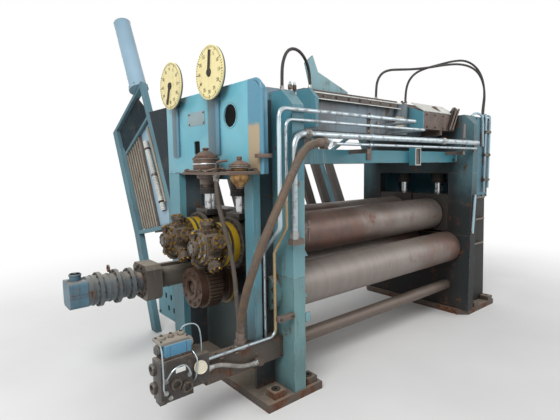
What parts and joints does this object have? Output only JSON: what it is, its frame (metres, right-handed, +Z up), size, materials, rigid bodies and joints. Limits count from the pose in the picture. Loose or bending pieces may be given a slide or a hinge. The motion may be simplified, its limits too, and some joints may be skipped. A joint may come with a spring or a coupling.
{
  "type": "five-roll plate leveler",
  "caption": "Plate roller leveler: tall end housings, staggered upper and lower rolls, lift cylinders, radial-piston roll drives, gap dials and an inclined rear guard.",
  "frame": {"origin": "on the floor, in the middle of the rectangle of the four main anchor bolts, midway between the housings", "axes": "+X along the rolls away from the drives, +Y through the machine from its front to its back, +Z up"},
  "size_m": [4.622, 3.091, 3.3697],
  "materials": {
    "rusty_steel": "oily rusty steel",
    "accumulator_brass": "dull brassy steel shell",
    "brown_hose": "dusty brown rubber hose",
    "dial_cream": "cream enamel dial",
    "turquoise_paint": "worn light turquoise machine paint",
    "black_hose": "black rubber hose",
    "worn_paint": "faded blue-grey paint with rust and oil stains",
    "guard_brown": "brown dirty paint",
    "grey_blue_paint": "grey-blue machine paint",
    "dark_steel": "dark oily paint",
    "pointer_black": "matt black",
    "roll_steel": "ground roll steel with a brown film of rust",
    "silver_pipe": "silver hydraulic tube",
    "yellow_paint": "yellow gear paint with oil stains",
    "motor_casting": "dirty grey casting",
    "rod_chrome": "polished hard chrome"
  },
  "bodies": {
    "frame": {"accumulator_shelf": "rusty_steel", "accumulators": "accumulator_brass", "brown_hose": "brown_hose", "dials": "dial_cream", "foot_channel": "turquoise_paint", "front_hose": "black_hose", "front_tie_beam": "turquoise_paint", "girder_stiffeners": "turquoise_paint", "girder_webs": "worn_paint", "guard_bars": "guard_brown", "guard_left_frame": "grey_blue_paint", "guard_right_frame": "grey_blue_paint", "guard_tube": "guard_brown", "hydraulic_manifold": "dark_steel", "left_base_plate": "rusty_steel", "left_crosshead": "turquoise_paint", "left_cylinders": "dark_steel", "left_outer_legs": "turquoise_paint", "left_outer_panel": "turquoise_paint", "left_posts": "turquoise_paint", "left_sill": "turquoise_paint", "left_webs": "turquoise_paint", "manifold_hose": "black_hose", "rear_drive_gear": "grey_blue_paint", "rear_drive_motor": "grey_blue_paint", "rear_tie_beam": "turquoise_paint", "right_base_plate": "rusty_steel", "right_crosshead": "turquoise_paint", "right_cylinder_shelf": "turquoise_paint", "right_cylinders": "dark_steel", "right_lower_casing": "worn_paint", "right_posts": "turquoise_paint", "right_rungs": "worn_paint", "right_sill": "turquoise_paint", "right_upper_casing": "turquoise_paint", "silver_tubes": "silver_pipe", "top_front_hose": "black_hose", "top_left_hose": "black_hose", "top_plate": "worn_paint", "top_rear_hose": "black_hose", "torque_arm": "rusty_steel", "torsion_bars": "rusty_steel", "tube_clamps": "rusty_steel"},
    "upper_front_carrier": {"upper_front_chocks": "rusty_steel", "upper_front_rods": "rod_chrome", "upper_front_gear_drum": "yellow_paint", "upper_front_motor": "motor_casting"},
    "upper_rear_carrier": {"upper_rear_chocks": "rusty_steel", "upper_rear_rods": "rod_chrome", "upper_rear_gear_drum": "yellow_paint", "upper_rear_motor": "motor_casting"},
    "upper_front_roll": {"upper_front_roll": "roll_steel"},
    "upper_rear_roll": {"upper_rear_roll": "roll_steel"},
    "lower_front_roll": {"lower_front_roll": "roll_steel"},
    "lower_middle_roll": {"lower_middle_roll": "roll_steel", "middle_gear_coupling": "rusty_steel"},
    "lower_rear_roll": {"lower_rear_roll": "roll_steel"},
    "large_pointer": {"large_pointer": "pointer_black"},
    "small_pointer": {"small_pointer": "pointer_black"}
  },
  "joints": [
    {"name": "upper_front_lift", "type": "slide", "parent": "frame", "child": "upper_front_carrier", "axis": [0, 0, 1], "range_m": [-0.02, 0.12]},
    {"name": "upper_rear_lift", "type": "slide", "parent": "frame", "child": "upper_rear_carrier", "axis": [0, 0, 1], "range_m": [-0.02, 0.12]},
    {"name": "upper_front_roll_spin", "type": "hinge", "parent": "upper_front_carrier", "child": "upper_front_roll", "pos_m": [0, -0.244, 1.155], "axis": [1, 0, 0], "continuous": true},
    {"name": "upper_rear_roll_spin", "type": "hinge", "parent": "upper_rear_carrier", "child": "upper_rear_roll", "pos_m": [0, 0.244, 1.155], "axis": [1, 0, 0], "continuous": true},
    {"name": "lower_front_roll_spin", "type": "hinge", "parent": "frame", "child": "lower_front_roll", "pos_m": [0, -0.488, 0.784], "axis": [1, 0, 0], "continuous": true},
    {"name": "lower_middle_roll_spin", "type": "hinge", "parent": "frame", "child": "lower_middle_roll", "pos_m": [0, 0, 0.784], "axis": [1, 0, 0], "continuous": true},
    {"name": "lower_rear_roll_spin", "type": "hinge", "parent": "frame", "child": "lower_rear_roll", "pos_m": [0, 0.488, 0.784], "axis": [1, 0, 0], "continuous": true},
    {"name": "large_pointer_turn", "type": "hinge", "parent": "frame", "child": "large_pointer", "pos_m": [-1.71, -0.2, 2.446], "axis": [1, 0, 0], "range_deg": [-42, 246]},
    {"name": "small_pointer_turn", "type": "hinge", "parent": "frame", "child": "small_pointer", "pos_m": [-1.71, 0.455, 2.446], "axis": [1, 0, 0], "range_deg": [-42, 246]}
  ],
  "couplings": [
    {"joint": "large_pointer_turn", "follows": "upper_front_lift", "rad_per_m": 35},
    {"joint": "small_pointer_turn", "follows": "upper_rear_lift", "rad_per_m": 35}
  ]
}
